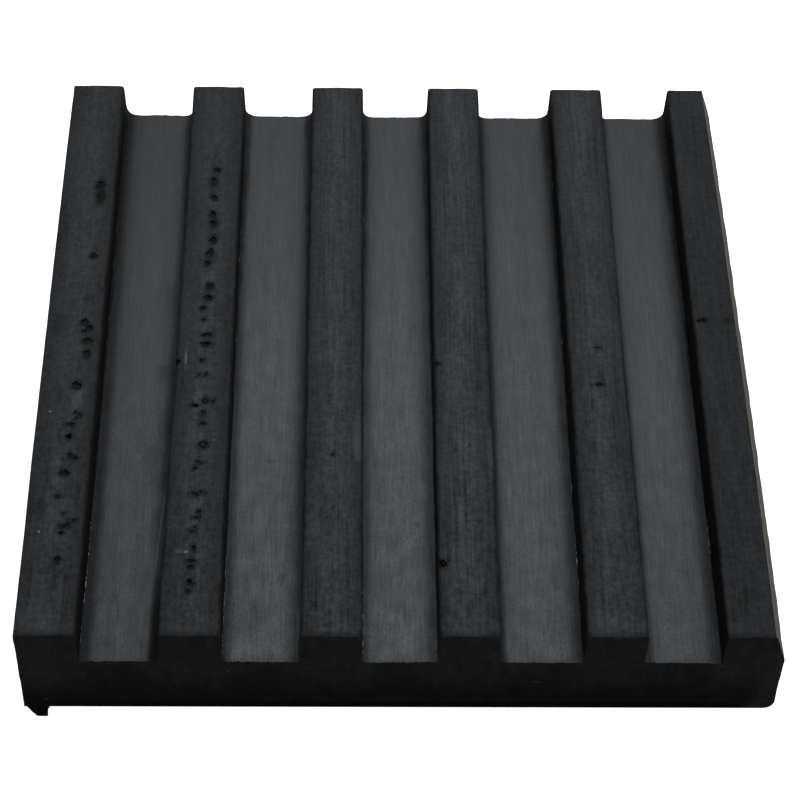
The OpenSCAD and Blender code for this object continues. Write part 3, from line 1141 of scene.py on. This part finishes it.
def cut_face():
    m = Rubber("rubber_cut", 0.1)
    x, z = m.along("X"), m.along("Z")
    blotch = m.noise((2.0, 2.5, 2.8), detail=5.0)
    upright = m.noise((0.9, 3, 7), detail=3.0, seed=2.0)
    saw = m.noise((7, 7, 0.5), seed=1.0)
    grain = m.noise((0.3, 0.3, 0.3), detail=1.0)
    tone = m.tone((blotch, 1.5), (upright, 0.8), (saw, 0.35), (grain, 0.6))
    wandering_z = m.total((z, 1.0), (m.noise((3, 3, 3)), 0.5), (1.0, -0.25))
    # Painted light from the right on the right end of the front face
    right_end_light = m.span(x, *RIGHT_END_LIGHT_X)
    at_nib = m.span(x, *NIB_END_X)
    face_tone, foot_tone = RIGHT_END_LIGHT_TONES
    # Painted shade on the front face towards the ground, eased at the right end and beside the nib
    foot = m.span(wandering_z, *FOOT_SHADE_Z)
    foot = m.math("MAXIMUM", foot, m.math("MULTIPLY", right_end_light, foot_tone))
    foot = m.math("MAXIMUM", foot, m.math("MULTIPLY", at_nib, NIB_END_TONE))
    face = m.span(z, *FACE_SHADE_Z)
    face = m.math("MAXIMUM", face, m.math("MULTIPLY", right_end_light, face_tone))
    above = m.span(z, *SCORE_STEP_Z)
    tone = m.math("MULTIPLY", tone, m.total((face, above), (foot, m.math("SUBTRACT", 1.0, above))))
    color = m.tinted(CUT_COLOR, tone)
    color = m.darker(color, m.marks(CUT_DARK_MARKS, True), 0.3)
    color = m.lighter(color, m.marks(CUT_PALE_MARKS, True), 0.04, SPECK_COLOR)
    color = m.lighter(color, m.marks(CUT_LIGHT_MARKS, True), 0.3, SPECK_COLOR)
    return m.finish(color, 0.8, m.total((saw, 0.3), (grain, 0.3), (blotch, 0.6)), 0.08)


def bevel():
    m = Rubber("rubber_bevel_reflection", 0.3)
    # Painted reflection of the pale ground on the bevel
    tone = m.tone((m.noise((1, 5, 1), detail=3.0), 1.0), (m.noise((0.4, 1.2, 0.4), seed=1.0), 0.7))
    return m.finish(m.tinted(BEVEL_REFLECTION_COLOR, tone), 0.5, tone, 0.03)


def void():
    m = Rubber("rubber_pit_shade", 0.05)
    # Painted shade inside the voids
    color = m.mix(m.span(m.noise((0.35, 0.35, 0.35), detail=3.0), 0.35, 0.65), VOID_SHADE_DARK, VOID_SHADE_LIGHT)
    return m.finish(color, 0.9)


def underside():
    m = Rubber("rubber_underside", 0.3)
    tone = m.tone((m.noise((3, 3, 3), detail=4.0), 0.8), (m.noise((0.3, 0.3, 0.3), seed=1.0), 0.6))
    return m.finish(m.tinted(TOP_COLOR, tone), 0.7, tone, 0.03)


def materials():
    """The materials, in the order of the surfaces' indices."""
    return [rib_top(), rib_wall(), flash_highlights(), groove_floor(), bevel(), cut_face(), void(), underside()]


# ---- studio

# The camera that fits the photo: its place in mm, its turns in degrees and its focal length
CAMERA_AT = (-6.8, -203.7, 267.9)
CAMERA_YAW = 1.99
CAMERA_PITCH = 52.43
CAMERA_ROLL = -1.88
CAMERA_FOCAL_PX = 2260
FRAME_PX = 800
SENSOR_MM = 36

# Area lights: (name, place, aim, size, power, colour), in metres and watts
LIGHTS = (
    ("key_behind", (0.05, 0.42, 0.62), (0, 0, 0), (0.55, 0.4), 4, (0.96, 0.98, 1.0)),
    ("side_right", (0.6, 0.05, 0.06), (0, 0, 0.015), (0.4, 0.1), 0.15, (1.0, 0.93, 0.82)),
)
WORLD_STRENGTH = 0.2

# The floor is a disc in metres, flat over this share of its radius and rising beyond it
FLOOR_R = 3.0
FLOOR_RISE = 2.0
FLOOR_FLAT_SHARE = 0.5
FLOOR_RINGS = 24
FLOOR_STEPS = 96
FLOOR_SURFACE = {
    "Base Color": (0.9, 0.9, 0.9, 1), "Roughness": 0.9, "Specular IOR Level": 0,
    "Emission Color": (1, 1, 1, 1), "Emission Strength": 1,
}


def add_camera():
    camera = bpy.data.cameras.new("camera")
    camera.sensor_width = SENSOR_MM
    camera.lens = SENSOR_MM * CAMERA_FOCAL_PX / FRAME_PX
    camera.clip_start = 0.01
    camera.clip_end = 20
    obj = placed("camera", camera)
    obj.matrix_world = (
        Matrix.Translation(Vector(CAMERA_AT) * MM)
        @ Matrix.Rotation(-math.radians(CAMERA_YAW), 4, "Z")
        @ Matrix.Rotation(math.radians(90 - CAMERA_PITCH), 4, "X")
        @ Matrix.Rotation(-math.radians(CAMERA_ROLL), 4, "Z"))
    bpy.context.scene.camera = obj


def add_light(name, at, towards, size, power, color):
    light = bpy.data.lights.new(name, "AREA")
    light.shape = "RECTANGLE"
    light.size, light.size_y = size
    light.energy = power
    light.color = color
    obj = placed(name, light)
    obj.location = Vector(at)
    obj.rotation_euler = (Vector(towards) - Vector(at)).to_track_quat("-Z", "Y").to_euler()


def add_stage():
    """A plain pale floor that glows evenly, so that it is white without lighting the pad."""
    bm = bmesh.new()
    loops = []
    for ring_number in range(1, FLOOR_RINGS + 1):
        share = ring_number / FLOOR_RINGS
        r = FLOOR_R * share
        z = FLOOR_RISE * share_between(share, FLOOR_FLAT_SHARE, 1) ** 2
        angles = [2 * math.pi * s / FLOOR_STEPS for s in range(FLOOR_STEPS)]
        loops.append([bm.verts.new((r * math.cos(a), r * math.sin(a), z)) for a in angles])
    centre = bm.verts.new((0, 0, 0))
    for s in range(FLOOR_STEPS):
        after = (s + 1) % FLOOR_STEPS
        bm.faces.new((centre, loops[0][s], loops[0][after]))
        for inner, outer in zip(loops, loops[1:]):
            bm.faces.new((inner[s], outer[s], outer[after], inner[after]))
    mesh = bpy.data.meshes.new("studio_floor")
    bm.to_mesh(mesh)
    bm.free()
    mesh.shade_smooth()
    material = bpy.data.materials.new("studio_floor")
    material.use_nodes = True
    shader = material.node_tree.nodes["Principled BSDF"]
    for name, setting in FLOOR_SURFACE.items():
        shader.inputs[name].default_value = setting
    mesh.materials.append(material)
    floor = placed("studio_floor", mesh)
    floor.visible_diffuse = False
    floor.visible_glossy = False


def add_studio():
    add_camera()
    add_stage()
    for light in LIGHTS:
        add_light(*light)
    world = bpy.data.worlds.new("studio")
    world.use_nodes = True
    background = world.node_tree.nodes["Background"]
    background.inputs["Color"].default_value = (1, 1, 1, 1)
    background.inputs["Strength"].default_value = WORLD_STRENGTH
    bpy.context.scene.world = world
    bpy.context.scene.view_settings.view_transform = "Standard"


# ---- object

# Edges that turn by more than this stay sharp
SHARP_ANGLE = math.radians(35)

pad_mesh = build_pad()
for material in materials():
    pad_mesh.materials.append(material)
pad_mesh = combined(pad_mesh, nib, CUT, "UNION")
pad_mesh = without(pad_mesh, voids(), PIT)
pad_mesh = without(pad_mesh, chips(), CUT)
add_rim_shade(pad_mesh)
pad_mesh.name = "ribbed_pad_rubber"
pad_mesh.transform(Matrix.Scale(MM, 4))
pad_mesh.shade_smooth()
pad_mesh.set_sharp_from_angle(angle=SHARP_ANGLE)
pad = placed("ribbed_pad_rubber", pad_mesh)
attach(pad, "root")
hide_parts("ribbed_pad")
add_studio()
